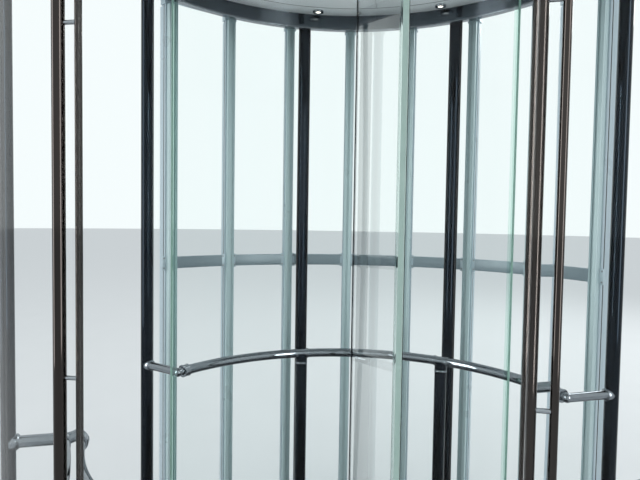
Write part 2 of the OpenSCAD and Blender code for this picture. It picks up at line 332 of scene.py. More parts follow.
def bent_bar(width, height, radius, z, start, end, rounding=FINE_EDGE, step=ARC_STEP):
    """A bar of that cross-section, bent round the door's axis from the start angle to the end angle."""
    deselect()
    bpy.ops.mesh.primitive_plane_add(size=1, rotation=(0, math.radians(90), 0))
    obj = bpy.context.active_object
    bpy.ops.object.transform_apply(location=False, rotation=True, scale=False)
    obj.scale = (1, width, height)
    obj.location = (0, radius, z)
    bpy.ops.object.transform_apply(location=True, rotation=False, scale=True)
    obj.rotation_euler = (0, 0, math.radians(start))
    bpy.ops.object.transform_apply(location=False, rotation=True, scale=False)
    if rounding:
        work(obj, lambda: bpy.ops.mesh.bevel(offset=rounding, segments=BEVEL_STEPS, affect="VERTICES"))
    turn = end - start
    steps = max(2, round(abs(turn) / step))
    closed = abs(turn) >= FULL_TURN
    if closed:
        work(obj, lambda: bpy.ops.mesh.delete(type="ONLY_FACE"))
    # The spin operator turns clockwise for a positive angle.
    work(obj, lambda: bpy.ops.mesh.spin(steps=steps, angle=math.radians(-turn),
                                        center=(0, 0, 0), axis=(0, 0, 1)))
    if closed:
        work(obj, lambda: bpy.ops.mesh.remove_doubles(threshold=MERGE_WITHIN))
    return work(obj, lambda: bpy.ops.mesh.normals_make_consistent(inside=False))


def ring(width, height, radius, z, rounding, step=ARC_STEP):
    """A closed ring of that cross-section round the door's axis."""
    return bent_bar(width, height, radius, z, 0, FULL_TURN, rounding, step)


# Small fasteners, each with its seat at the origin and its head along +Z

SUNK = 0.0004


def socket_screw(radius, height, sides=14):
    """A low screw head with a turned edge and a round socket in it."""
    return turned([(radius, -height * 0.2), (radius, height * 0.6), (radius * 0.84, height),
                   (radius * 0.48, height), (radius * 0.42, height * 0.25)], sides)


def domed_bolt(radius, height):
    """A flat washer with a domed cap on it, as on glass clamps."""
    cap = radius * 0.72
    rim = height * 0.25
    return turned([(radius, -SUNK), (radius, rim * 0.7), (radius * 0.94, rim), (cap, rim),
                   (cap, height * 0.62), (cap * 0.9, height * 0.85), (cap * 0.66, height * 0.96),
                   (cap * 0.35, height)])


def hexagon_bolt(radius, height):
    """A washer with a hexagon head on it, its corners turned off."""
    washer = disc(radius * 1.4, height * 0.3, height * 0.08, -SUNK / 2, SMALL_SIDES)
    head = turned([(radius, height * 0.25), (radius, height * 0.88), (radius * 0.88, height)], sides=6)
    return joined([washer, head])


# Materials

def group_of(name, outputs, inputs=()):
    """An empty shader node group with named sockets."""
    group = bpy.data.node_groups.new(name, "ShaderNodeTree")
    for socket, kind, value in inputs:
        made = group.interface.new_socket(socket, in_out="INPUT", socket_type=kind)
        made.default_value = value
    for socket, kind in outputs:
        group.interface.new_socket(socket, in_out="OUTPUT", socket_type=kind)
    return group


def node_in(tree, kind, **settings):
    """A new shader node with its settings."""
    made = tree.nodes.new(kind)
    for key, value in settings.items():
        setattr(made, key, value)
    return made


STREAK_SCALE = 60.0
SMUDGE_SCALE = 5.0
UPRIGHT_STREAKS = (1.0, 1.0, 0.02)


def wear_group():
    """Polishing streaks, hand smudges and fine dust, each from 0 to 1, on Object coordinates."""
    group = group_of("wear_marks",
                     [("Streaks", "NodeSocketFloat"), ("Smudges", "NodeSocketFloat"),
                      ("Dust", "NodeSocketFloat")],
                     [("Streak Scale", "NodeSocketFloat", STREAK_SCALE),
                      ("Smudge Scale", "NodeSocketFloat", SMUDGE_SCALE),
                      ("Stretch", "NodeSocketVector", UPRIGHT_STREAKS)])
    enter = node_in(group, "NodeGroupInput")
    leave = node_in(group, "NodeGroupOutput")
    where = node_in(group, "ShaderNodeTexCoord")
    stretch = node_in(group, "ShaderNodeVectorMath", operation="MULTIPLY")
    streak = node_in(group, "ShaderNodeTexNoise")
    streak.inputs["Detail"].default_value = 4.0
    smudge = node_in(group, "ShaderNodeTexNoise")
    smudge.inputs["Detail"].default_value = 3.0
    smudge.inputs["Roughness"].default_value = 0.6
    dust = node_in(group, "ShaderNodeTexNoise")
    dust.inputs["Scale"].default_value = 240.0
    dust.inputs["Detail"].default_value = 2.0
    specks = node_in(group, "ShaderNodeMapRange")
    specks.inputs["From Min"].default_value = 0.6
    specks.inputs["From Max"].default_value = 0.75
    link = group.links.new
    link(where.outputs["Object"], stretch.inputs[0])
    link(enter.outputs["Stretch"], stretch.inputs[1])
    link(stretch.outputs[0], streak.inputs["Vector"])
    link(enter.outputs["Streak Scale"], streak.inputs["Scale"])
    link(where.outputs["Object"], smudge.inputs["Vector"])
    link(enter.outputs["Smudge Scale"], smudge.inputs["Scale"])
    link(where.outputs["Object"], dust.inputs["Vector"])
    link(dust.outputs["Fac"], specks.inputs["Value"])
    link(streak.outputs["Fac"], leave.inputs["Streaks"])
    link(smudge.outputs["Fac"], leave.inputs["Smudges"])
    link(specks.outputs["Result"], leave.inputs["Dust"])
    return group


WEAR = wear_group()


def marks_in(tree, streaks, smudges=SMUDGE_SCALE, stretch=UPRIGHT_STREAKS):
    """The wear marks, placed in a material with its own values."""
    marks = node_in(tree, "ShaderNodeGroup", node_tree=WEAR)
    marks.inputs["Streak Scale"].default_value = streaks
    marks.inputs["Smudge Scale"].default_value = smudges
    marks.inputs["Stretch"].default_value = stretch
    return marks


def new_material(name):
    """A new material, its node tree and its shader."""
    material = bpy.data.materials.new(name)
    material.use_nodes = True
    return material, material.node_tree, material.node_tree.nodes["Principled BSDF"]


def blended(tree, factor, first, second):
    """A colour that runs from the first to the second with the factor."""
    mix = node_in(tree, "ShaderNodeMix", data_type="RGBA")
    mix.inputs["A"].default_value = (*first, 1)
    mix.inputs["B"].default_value = (*second, 1)
    tree.links.new(factor, mix.inputs["Factor"])
    return mix.outputs["Result"]


def ranged(tree, value, low, high, start=0.3, stop=0.7):
    """A number that runs from low to high as the value runs from start to stop."""
    spread = node_in(tree, "ShaderNodeMapRange")
    spread.inputs["From Min"].default_value = start
    spread.inputs["From Max"].default_value = stop
    spread.inputs["To Min"].default_value = low
    spread.inputs["To Max"].default_value = high
    tree.links.new(value, spread.inputs["Value"])
    return spread.outputs["Result"]


def raised(tree, shader, height, strength, distance):
    """A fine relief in the shader's normal."""
    bump = node_in(tree, "ShaderNodeBump")
    bump.inputs["Strength"].default_value = strength
    bump.inputs["Distance"].default_value = distance
    tree.links.new(height, bump.inputs["Height"])
    tree.links.new(bump.outputs["Normal"], shader.inputs["Normal"])


DUST_DULLS = 0.08
STREAK_DEPTH = 0.001


def metal(name, dark, light, gloss, metallic=1.0, streaks=STREAK_SCALE, stretch=UPRIGHT_STREAKS,
          relief=0.02, coat=0.0):
    """Metal or coated sheet between two colours, finely streaked, with smudges and dust in its gloss."""
    material, tree, shader = new_material(name)
    shader.inputs["Metallic"].default_value = metallic
    shader.inputs["Coat Weight"].default_value = coat
    marks = marks_in(tree, streaks, stretch=stretch)
    dulled = node_in(tree, "ShaderNodeMath", operation="MULTIPLY_ADD")
    dulled.inputs[1].default_value = DUST_DULLS
    link = tree.links.new
    link(blended(tree, marks.outputs["Streaks"], dark, light), shader.inputs["Base Color"])
    link(marks.outputs["Dust"], dulled.inputs[0])
    link(ranged(tree, marks.outputs["Smudges"], *gloss), dulled.inputs[2])
    link(dulled.outputs[0], shader.inputs["Roughness"])
    raised(tree, shader, marks.outputs["Streaks"], relief, STREAK_DEPTH)
    return material


def grained(name, dark, light, gloss, scale, relief=0.1, distance=0.0005):
    """Rubber, brush, mat or ground glass between two colours, with a fine grain."""
    material, tree, shader = new_material(name)
    where = node_in(tree, "ShaderNodeTexCoord")
    grain = node_in(tree, "ShaderNodeTexNoise")
    grain.inputs["Scale"].default_value = scale
    grain.inputs["Detail"].default_value = 5.0
    link = tree.links.new
    link(where.outputs["Object"], grain.inputs["Vector"])
    link(blended(tree, grain.outputs["Fac"], dark, light), shader.inputs["Base Color"])
    link(ranged(tree, grain.outputs["Fac"], *gloss), shader.inputs["Roughness"])
    raised(tree, shader, grain.outputs["Fac"], relief, distance)
    return material


def glass(name, clean, marked, bend, haze=0.02):
    """Clear glass of two faint tints, with wiping marks. Shadows and bounced light pass it straight."""
    material, tree, shader = new_material(name)
    shader.inputs["IOR"].default_value = bend
    shader.inputs["Transmission Weight"].default_value = 1.0
    marks = marks_in(tree, streaks=7.0, smudges=2.2, stretch=(1.0, 1.0, 0.25))
    clear = node_in(tree, "ShaderNodeBsdfTransparent")
    # A ray crosses two faces of a pane, so each takes the square root of the tint.
    clear.inputs["Color"].default_value = (*[c ** 0.5 for c in clean], 1)
    path = node_in(tree, "ShaderNodeLightPath")
    # A refracted ray counts as glossy too, so taking those off leaves the reflected ones.
    mirrored = node_in(tree, "ShaderNodeMath", operation="SUBTRACT")
    unseen = node_in(tree, "ShaderNodeMath", operation="MAXIMUM")
    passing = node_in(tree, "ShaderNodeMath", operation="MAXIMUM")
    mix = node_in(tree, "ShaderNodeMixShader")
    link = tree.links.new
    link(path.outputs["Is Shadow Ray"], unseen.inputs[0])
    link(path.outputs["Is Diffuse Ray"], unseen.inputs[1])
    link(unseen.outputs[0], passing.inputs[0])
    link(path.outputs["Is Glossy Ray"], mirrored.inputs[0])
    link(path.outputs["Is Transmission Ray"], mirrored.inputs[1])
    link(mirrored.outputs[0], passing.inputs[1])
    link(blended(tree, marks.outputs["Streaks"], clean, marked), shader.inputs["Base Color"])
    link(ranged(tree, marks.outputs["Smudges"], 0.0, haze, start=0.45, stop=0.8), shader.inputs["Roughness"])
    link(passing.outputs[0], mix.inputs["Fac"])
    link(shader.outputs["BSDF"], mix.inputs[1])
    link(clear.outputs["BSDF"], mix.inputs[2])
    link(mix.outputs["Shader"], tree.nodes["Material Output"].inputs["Surface"])
    return material


def lit_lens(name, pale, warm, strength):
    """The frosted lens of a small light, a little uneven in its tint and its glow."""
    material, tree, shader = new_material(name)
    shader.inputs["Emission Strength"].default_value = strength
    marks = marks_in(tree, streaks=160.0, stretch=(1.0, 1.0, 1.0))
    link = tree.links.new
    link(blended(tree, marks.outputs["Streaks"], pale, warm), shader.inputs["Base Color"])
    link(blended(tree, marks.outputs["Smudges"], pale, warm), shader.inputs["Emission Color"])
    link(ranged(tree, marks.outputs["Streaks"], 0.25, 0.45), shader.inputs["Roughness"])
    return material


# Painted reflection: the polished posts, legs, beads, hubs and clamps get a near-black colour that stands in
# for the dark surroundings they reflect.
POLISHED_METAL_PAINTED_DARK_REFLECTION = metal("dark_polished_steel", (0.005, 0.009, 0.014), (0.020, 0.025, 0.031), (0.03, 0.10),
                   relief=0.03)
# Painted reflection: the twin posts' mirror-polished tubes get a dark brownish colour that stands in for the
# dark surroundings and brown tints they reflect.
TUBE_METAL_PAINTED_DARK_REFLECTION = metal("tube_steel_painted_dark_reflection", (0.022, 0.019, 0.019), (0.070, 0.062, 0.057), (0.05, 0.12),
                   streaks=18, relief=0.01)
RING_STEEL = metal("dark_ring_steel", (0.048, 0.060, 0.072), (0.100, 0.118, 0.135), (0.08, 0.18),
                   streaks=40, stretch=(1, 1, 0.3), relief=0.05)
# Painted reflection: this steel is darker than chrome, for the dark surroundings that the rails reflect; the
# rail trims and the ring's lip share it.
RAIL_METAL_PAINTED_DARK_REFLECTION = metal("rail_steel_painted_dark_reflection", (0.18, 0.20, 0.225), (0.28, 0.305, 0.325), (0.03, 0.08),
                   streaks=90, stretch=(1, 1, 1))
CHROME = metal("bright_steel", (0.27, 0.30, 0.33), (0.40, 0.43, 0.45), (0.03, 0.08),
               streaks=140, stretch=(1, 1, 1))
# Painted reflection: the polished ceiling is given a near-white, non-metal colour that stands in for the
# pale light it reflects.
CEILING_PAINTED_PALE_REFLECTION = metal("ceiling_sheet_painted_pale_reflection", (0.90, 0.94, 0.94), (0.97, 0.98, 0.98), (0.07, 0.16),
                      metallic=0.0, streaks=9, stretch=(1, 0.05, 1), relief=0.03, coat=0.2)
ALUMINIUM = metal("satin_aluminium", (0.49, 0.59, 0.65), (0.61, 0.71, 0.76), (0.26, 0.40),
                  metallic=0.1, streaks=90, relief=0.06)
# Painted light: the mullions' inner caps are a lighter, greener copy of the mullion aluminium, for the light
# and reflections on their inner faces.
CAP_METAL_PAINTED_LIGHT = metal("mullion_cap_painted_light", (0.52, 0.66, 0.68), (0.64, 0.78, 0.79), (0.26, 0.40),
                      metallic=0.1, streaks=90, relief=0.06)
# Painted shade: a darker copy of the mullion aluminium, for the shade that falls on the cross bar.
BAR_METAL_PAINTED_SHADE = metal("cross_bar_painted_shade", (0.25, 0.32, 0.36), (0.31, 0.38, 0.42), (0.28, 0.42),
                      metallic=0.1, streaks=60, stretch=(1, 1, 1), relief=0.04)
CLADDING = metal("dark_cladding", (0.022, 0.025, 0.030), (0.042, 0.046, 0.054), (0.25, 0.4),
                 metallic=0.5, streaks=30)
ROOF_SHEET = metal("roof_sheet", (0.13, 0.14, 0.15), (0.2, 0.21, 0.22), (0.5, 0.7),
                   metallic=0.3, streaks=8, stretch=(1, 1, 1))
SILL_STEEL = metal("sill_steel", (0.24, 0.25, 0.26), (0.36, 0.37, 0.38), (0.25, 0.42),
                   streaks=50, stretch=(1, 1, 1))
RUBBER = grained("black_seal", (0.010, 0.010, 0.011), (0.022, 0.022, 0.024), (0.5, 0.7), scale=150)
BRUSH = grained("seal_brush", (0.012, 0.012, 0.013), (0.05, 0.05, 0.052), (0.8, 0.95),
                scale=500, relief=0.7, distance=0.002)
MAT_PILE = grained("mat_pile", (0.07, 0.072, 0.076), (0.15, 0.153, 0.158), (0.85, 0.98),
                   scale=420, relief=0.6, distance=0.002)
PANE_GLASS = glass("pane_glass", (0.985, 0.996, 0.993), (0.965, 0.99, 0.985), bend=1.11)
WING_GLASS = glass("wing_glass", (0.985, 0.995, 0.993), (0.968, 0.988, 0.984), bend=1.08)
EDGE_GLASS = glass("green_edge_glass", (0.83, 0.93, 0.895), (0.75, 0.88, 0.835), bend=1.05, haze=0.06)
EDGE_LIP = grained("green_edge_lip", (0.36, 0.50, 0.45), (0.46, 0.60, 0.55), (0.12, 0.3),
                   scale=25, relief=0.02)
LENS = lit_lens("frosted_lens", (0.92, 0.90, 0.84), (1.0, 0.93, 0.80), strength=2.5)
GLASSES = (PANE_GLASS, WING_GLASS, EDGE_GLASS)

FINISHES = {
    "floor_plate": MAT_PILE,
    "sill_ring": SILL_STEEL,
    "ring_band": RING_STEEL,
    "ring_lip": RAIL_METAL_PAINTED_DARK_REFLECTION,
    "ceiling": CEILING_PAINTED_PALE_REFLECTION,
    "ceiling_lights": LENS,
    "head_ring": ALUMINIUM,
    "canopy_fascia": CLADDING,
    "roof": ROOF_SHEET,
    "roof_drip": CLADDING,
    "floor_bearing": CHROME,
    "ceiling_bearing": CHROME,
    "bottom_hub": POLISHED_METAL_PAINTED_DARK_REFLECTION,
    "top_hub": POLISHED_METAL_PAINTED_DARK_REFLECTION,
    "joint_strip": POLISHED_METAL_PAINTED_DARK_REFLECTION,
    "bottom_clamps": POLISHED_METAL_PAINTED_DARK_REFLECTION,
    "top_clamps": POLISHED_METAL_PAINTED_DARK_REFLECTION,
}
FAMILIES = (("pane", PANE_GLASS), ("wing", WING_GLASS), ("screen", ALUMINIUM), ("post", POLISHED_METAL_PAINTED_DARK_REFLECTION),
            ("legs", POLISHED_METAL_PAINTED_DARK_REFLECTION), ("beads", POLISHED_METAL_PAINTED_DARK_REFLECTION), ("rail", RAIL_METAL_PAINTED_DARK_REFLECTION))


def finish_of(node):
    """The finish of a CAD node: its own, or its family's."""
    if node in FINISHES:
        return FINISHES[node]
    return next(finish for word, finish in FAMILIES if word in node)


for node_name, node_obj in nodes.items():
    for material_slot in node_obj.material_slots:
        material_slot.material = finish_of(node_name)


# Posts

SHOE_EDGE = 0.0015
STEP_EDGE = 0.0012
STEP_IN = 0.003
STEP_R = SHOE_R - STEP_IN
# The side and the radius of each tube of a twin post
TWIN_TUBES = ((1, 0.0115), (-1, 0.0065))
# How far a tube's axis lies aside of the post's middle, and how far out or in from it
TUBE_ASIDE = 0.0165
TUBE_OUT = 0.008
TUBES_APART = 2 * math.hypot(TUBE_ASIDE, TUBE_OUT)
TUBE_SUNK = 0.002
FERRULE_H = 0.012
FERRULE_OVER = 0.002
STRIP_SLIM = 0.8
STRIP_T = STRIP_SLIM * PANE_T
STRIP_CLEAR = 0.001
STRIP_W = 2 * POST_R - STRIP_CLEAR
LINK_R = 0.004
LINK_COUNT = 5
LINK_IN = 0.12
LINK_PITCH = (WALL_H - 2 * LINK_IN) / (LINK_COUNT - 1)
LINK_HEIGHTS = [SILL_TOP + LINK_IN + i * LINK_PITCH for i in range(LINK_COUNT)]


def tube_spot(angle, hand, side, z):
    """The place of a twin post's left (side 1) or right tube (side -1), as seen from outside."""
    return spot(angle, POST_RING_R + side * hand * TUBE_OUT, z, side * TUBE_ASIDE)


def twin_posts():
    """The front wall's two middle posts: a thick and a slim tube on one shoe, with clear glass between."""
    links, fittings = [], []
    for node, angle, hand in TWIN_POSTS:
        shoe = turned([(SHOE_R, 0), (SHOE_R, SHOE_H - SHOE_EDGE), (SHOE_R - SHOE_EDGE, SHOE_H),
                       (STEP_R, SHOE_H), (STEP_R, SHOE_STEP_H - STEP_EDGE),
                       (STEP_R - STEP_EDGE, SHOE_STEP_H)], FINE_SIDES)
        parts = copies(shoe, [spot(angle, POST_RING_R, SILL_TOP)])
        for side, radius in TWIN_TUBES:
            tube = turned([(radius, SHOE_STEP_H - TUBE_SUNK), (radius, WALL_H)], TUBE_SIDES)
            parts += copies(tube, [tube_spot(angle, hand, side, SILL_TOP)])
            ferrule = disc(radius + FERRULE_OVER, FERRULE_H, FERRULE_OVER, 0.0, TUBE_SIDES)
            fittings += copies(ferrule, [tube_spot(angle, hand, side, z)
                                         for z in (SILL_TOP + SHOE_STEP_H, CEILING_Z - FERRULE_H)])
        place = node.removesuffix("_post")
        piece = finish_piece(parts, f"{place}_twin_post", "drum", TUBE_METAL_PAINTED_DARK_REFLECTION)
        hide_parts(node)
        strip = bar(STRIP_W, STRIP_T, WALL_H - SHOE_STEP_H, FINE_EDGE)
        strips = copies(strip, [spot(angle, POST_RING_R, SILL_TOP + SHOE_STEP_H)])
        finish_piece(strips, f"{place}_glass_strip", "drum", PANE_GLASS)
        left, right = (tube_spot(angle, hand, side, 0.0).translation for side, _ in TWIN_TUBES)
        links += [aimed(point(angle, POST_RING_R, z), left - right) for z in LINK_HEIGHTS]
    fittings += copies(disc(LINK_R, TUBES_APART, THIN_EDGE, -TUBES_APART / 2, SMALL_SIDES), links)
    finish_piece(fittings, "twin_post_fittings", "drum", CHROME)


HEAD_RING_H = 0.014
HEAD_RING_OVER = 0.003
FOOT_RING_H = 0.005
FOOT_RING_OVER = 0.002


def post_rings():
    """Slim rings at the head and foot of the round posts, and the grub screws of their shoes."""
    head = disc(POST_R + HEAD_RING_OVER, HEAD_RING_H, ROUND_EDGE, -HEAD_RING_H, FINE_SIDES)
    foot = disc(POST_R + FOOT_RING_OVER, FOOT_RING_H, SOFT_EDGE, 0.0, FINE_SIDES)
    rings = copies(head, [spot(angle, POST_RING_R, CEILING_Z) for angle in ROUND_POSTS])
    rings += copies(foot, [spot(angle, POST_RING_R, SILL_TOP + SHOE_STEP_H) for angle in ROUND_POSTS])
    finish_piece(rings, "post_rings", "drum", CHROME)
    height = SILL_TOP + SHOE_H / 2
    spots = [spot(angle, POST_RING_R + face * SHOE_R, height, facing=OUTWARDS if face > 0 else INWARDS)
             for angle in ROUND_POSTS + TWIN_ANGLES for face in (-1, 1)]
    screws = copies(socket_screw(radius=0.003, height=0.0012, sides=12), spots)
    finish_piece(screws, "shoe_screws", "drum", CHROME)


# Glazing

SCREWS_A_BAY = 5
GASKET_W = 0.006
GASKET_T = 0.005
GASKET_CLEAR = 0.001
GASKET_ASIDE_A = math.degrees((POST_R + GASKET_CLEAR) / POST_RING_R)


def bead_screws():
    """Screws along the beads that hold the curved glass, on both faces."""
    spots = []
    for start, end in BAYS:
        for i in range(SCREWS_A_BAY):
            angle = start + (end - start) * (i + 0.5) / SCREWS_A_BAY
            for z in (SILL_TOP + BEAD_H / 2, CEILING_Z - BEAD_H / 2):
                spots.append(spot(angle, POST_RING_R + BEAD_FACE, z, facing=OUTWARDS))
                spots.append(spot(angle, POST_RING_R - BEAD_FACE, z, facing=INWARDS))
    screws = copies(socket_screw(radius=0.0042, height=0.001), spots)
    finish_piece(screws, "bead_screws", "drum", CHROME)


def pane_gaskets():
    """Soft black strips where the glass meets the round posts, on both faces."""
    for wall, bays in (("back", BAYS[:3]), ("front", BAYS[3:])):
        strip = bar(GASKET_W, GASKET_T, WALL_H - 2 * BEAD_H, SOFT_EDGE)
        ends = [(post, side) for start, end in bays for post, side in ((start, 1), (end, -1))
                if post not in TWIN_ANGLES]
        spots = [spot(post + side * GASKET_ASIDE_A, POST_RING_R + face * (PANE_T / 2 + GASKET_T / 2),
                      SILL_TOP + BEAD_H) for post, side in ends for face in (-1, 1)]
        finish_piece(copies(strip, spots), f"{wall}_gaskets", "drum", RUBBER)


# Guard rails

CLAMP_RING_OVER = 0.003
CLAMP_RING_W = 0.006
CLAMP_RING_SHIFT = 0.03
ANKLE_RING_OVER = 0.0025
ANKLE_RING_H = 0.006
ANKLE_RING_UP = 0.022
NECK_RING_OVER = 0.002
NECK_RING_H = 0.01
NECK_RING_DOWN = 0.05
NECK_RING_EDGE = 0.0025
FOOT_BOLTS = 4
FOOT_BOLT_OUT = 0.0455
FOOT_TOP = 0.008
# The outline of an arm's sleeve, as radius and height
SLEEVE = ((0.0245, -0.017), (0.0245, 0.008), (0.0235, 0.010), (0.0195, 0.014), (0.0175, 0.016))
SLEEVE_IN = 0.004
END_RING_R = 0.0275
END_RING_W = 0.003
END_RING_SHIFT = 0.0135


def leg_fittings(legs):
    """Clamp rings on the rail beside each leg, rings at its ankle and its neck, and its foot's bolts."""
    clamp_ring = disc(RAIL_TUBE_R + CLAMP_RING_OVER, CLAMP_RING_W, SOFT_EDGE, -CLAMP_RING_W / 2, TUBE_SIDES)
    ankle_ring = disc(LEG_R + ANKLE_RING_OVER, ANKLE_RING_H, ROUND_EDGE, 0.0, FINE_SIDES)
    neck_ring = disc(LEG_R + NECK_RING_OVER, NECK_RING_H, NECK_RING_EDGE, -NECK_RING_DOWN, FINE_SIDES)
    bolts = [spot(leg, RAIL_R, FLOOR_TOP + FOOT_TOP)
             @ Matrix.Rotation(math.radians((i + 0.5) * FULL_TURN / FOOT_BOLTS), 4, "Z")
             @ Matrix.Translation((FOOT_BOLT_OUT, 0, 0)) for leg in legs for i in range(FOOT_BOLTS)]
    return (copies(clamp_ring, [spot(leg, RAIL_R, RAIL_Z, shift, SIDEWAYS) for leg in legs
                                for shift in (-CLAMP_RING_SHIFT, CLAMP_RING_SHIFT)])
            + copies(ankle_ring, [spot(leg, RAIL_R, FLOOR_TOP + ANKLE_RING_UP) for leg in legs])
            + copies(neck_ring, [spot(leg, RAIL_R, RAIL_Z) for leg in legs])
            + copies(hexagon_bolt(radius=0.0045, height=0.005), bolts))


def arm_sleeves(turn):
    """The sleeves where the rail's arms end on the jamb posts."""
    spots = []
    for side in (-1, 1):
        jamb = point(turn + side * JAMB_A, POST_RING_R, RAIL_Z)
        elbow = point(turn + side * RAIL_END_A, RAIL_R, RAIL_Z, -side * ELBOW_OUT)
        along = (elbow - jamb).normalized()
        spots.append(aimed(jamb + along * (POST_R - SLEEVE_IN), along))
    return copies(turned(SLEEVE, COLLAR_SIDES), spots)


def end_rings(turn):
    """Two slim rings round the collar at each end of the rail."""
    end_ring = disc(END_RING_R, END_RING_W, THIN_EDGE, -END_RING_W / 2, COLLAR_SIDES)
    return copies(end_ring, [spot(turn + side * RAIL_END_A, RAIL_R, RAIL_Z, shift, SIDEWAYS)
                             for side in (-1, 1) for shift in (-END_RING_SHIFT, END_RING_SHIFT)])


def rail_trims():
    """The fittings of both guard rails."""
    for wall, turn in WALLS:
        parts = leg_fittings([turn + side * LEG_A for side in (-1, 1)]) + arm_sleeves(turn) + end_rings(turn)
        finish_piece(parts, f"{wall}_rail_trims", "drum", RAIL_METAL_PAINTED_DARK_REFLECTION)


# Floor

RIB_PITCH = 0.036
RIB_W = 0.006
RIB_H = 0.003
RIB_LIFT = 0.0012
MAT_EDGE = 0.03
MAT_FIELD_H = 0.02
HUB_CLEAR_R = 0.09
MAT_RIM_W = 0.02
MAT_RIM_H = 0.006
MAT_RIM_IN = 0.011
MAT_RIM_LIFT = 0.002
LINE_COUNT = 9
LINE_PITCH = 0.02
LINE_W = 0.008
LINE_H = 0.004
LINE_LIFT = 0.001
LINE_START = 0.03
DOORWAYS = (90, 270)
DOORWAY_HALF_A = 27


def entrance_mat():
    """The mat's ribs, cut round to the floor plate and clear of the hub, and its rim."""
    reach = FLOOR_R - MAT_EDGE
    count = int(reach / RIB_PITCH)
    rib = bar(RIB_W, RIB_H, 2 * reach, FINE_EDGE)
    lying = (Matrix.Translation((-reach, 0, FLOOR_TOP + RIB_LIFT)) @ SIDEWAYS
             @ Matrix.Rotation(math.radians(90), 4, "Z"))
    ribs = joined(copies(rib, [Matrix.Translation((0, i * RIB_PITCH, 0)) @ lying
                               for i in range(-count, count + 1)]))
    field = ring(reach - HUB_CLEAR_R, MAT_FIELD_H, (reach + HUB_CLEAR_R) / 2, FLOOR_TOP, 0)
    finish_piece([cut_to(ribs, field)], "mat_ribs", "drum", SILL_STEEL)
    rim = ring(MAT_RIM_W, MAT_RIM_H, FLOOR_R - MAT_RIM_IN, FLOOR_TOP + MAT_RIM_LIFT, SOFT_EDGE)
    finish_piece([rim], "mat_rim", "drum", SILL_STEEL)


def thresholds():
    """Raised lines on the sill in the two doorways."""
    lines = []
    for i in range(LINE_COUNT):
        line = bent_bar(LINE_W, LINE_H, FLOOR_R + LINE_START + i * LINE_PITCH, SILL_TOP + LINE_LIFT,
                        -DOORWAY_HALF_A, DOORWAY_HALF_A, step=3)
        lines += copies(line, [spot(centre, 0.0) for centre in DOORWAYS])
    finish_piece(lines, "threshold_lines", "drum", SILL_STEEL)


# Ceiling and ring

LIGHT_COUNT = 10
LIGHT_R = 0.985
LENS_R = 0.022
RIM_W = 0.0145
RIM_H = 0.008
RIM_OVER = 0.005
CEILING_SECTORS = 8
JOINT_W = 0.0025
JOINT_T = 0.0012
JOINT_DROP = 0.0004
JOINT_START_R = 0.1
JOINT_L = 0.835
COVER_W = 0.03
COVER_T = 0.006
COVER_H = 0.05
COVER_IN = 0.016
COVER_UP = 0.017


def ceiling_trims():
    """Rims of the small lights, joint lines of the ceiling's sheets, and the joint covers of the ring."""
    rim = ring(RIM_W, RIM_H, LENS_R + RIM_OVER - RIM_W / 2, -RIM_H / 2, ROUND_EDGE, step=10)
    rims = copies(rim, [spot((i + 0.5) * FULL_TURN / LIGHT_COUNT, LIGHT_R, CEILING_Z)
                        for i in range(LIGHT_COUNT)])
    finish_piece(rims, "light_rims", "drum", CHROME)
    line = bar(JOINT_W, JOINT_T, JOINT_L, HAIR_EDGE)
    lines = copies(line, [spot(i * FULL_TURN / CEILING_SECTORS, JOINT_START_R, CEILING_Z - JOINT_DROP,
                               facing=OUTWARDS) for i in range(CEILING_SECTORS)])
    lines.append(ring(JOINT_W, JOINT_T, JOINT_START_R + JOINT_L, CEILING_Z - JOINT_DROP, HAIR_EDGE))
    finish_piece(lines, "ceiling_joints", "drum", RUBBER)
    cover = bar(COVER_W, COVER_T, COVER_H, ROUND_EDGE, FINE_EDGE)
    covers = copies(cover, [spot((i + 0.5) * FULL_TURN / CEILING_SECTORS, BAND_R - COVER_IN,
                                 BAND_LOW + COVER_UP) for i in range(CEILING_SECTORS)])
    finish_piece(covers, "ring_joint_covers", "drum", POLISHED_METAL_PAINTED_DARK_REFLECTION)


# Canopy and roof

PANEL_COUNT = 12
PANEL_A = FULL_TURN / PANEL_COUNT
PANEL_GAP_A = 0.35
PANEL_T = 0.005
PANEL_OUT = 0.002
PANEL_SHORT = 0.09
TRIM_T = 0.008
TRIM_H = 0.014
TRIM_IN = 0.001
TRIM_UP = 0.008
TRIM_DOWN = 0.024
SEAM_W = 0.012
SEAM_H = 0.02
SEAM_START_R = 0.15
SEAM_SHORT = 0.245
SEAM_LIFT = 0.009
# The outline of the cap in the roof's middle, as radius and height above the roof
ROOF_CAP = ((0.165, -0.001), (0.165, 0.008), (0.155, 0.014), (0.09, 0.019), (0.04, 0.022), (0.01, 0.023))
FOLD = 0.012
FOLD_IN = 0.008
FOLD_DROP = 0.003


def canopy_trims():
    """Curved cladding panels with open joints, and the two edge trims."""
    panel = bent_bar(PANEL_T, CANOPY_TOP - CANOPY_LOW - PANEL_SHORT, DRUM_R + PANEL_OUT,
                     (CANOPY_LOW + CANOPY_TOP) / 2, PANEL_GAP_A, PANEL_A - PANEL_GAP_A)
    panels = copies(panel, [spot(i * PANEL_A, 0.0) for i in range(PANEL_COUNT)])
    finish_piece(panels, "canopy_panels", "drum", CLADDING)
    trim = ring(TRIM_T, TRIM_H, DRUM_R - TRIM_IN, 0, ROUND_EDGE)
    trims = copies(trim, [spot(0, 0, z) for z in (CANOPY_LOW + TRIM_UP, CANOPY_TOP - TRIM_DOWN)])
    finish_piece(trims, "canopy_trims", "drum", CHROME)


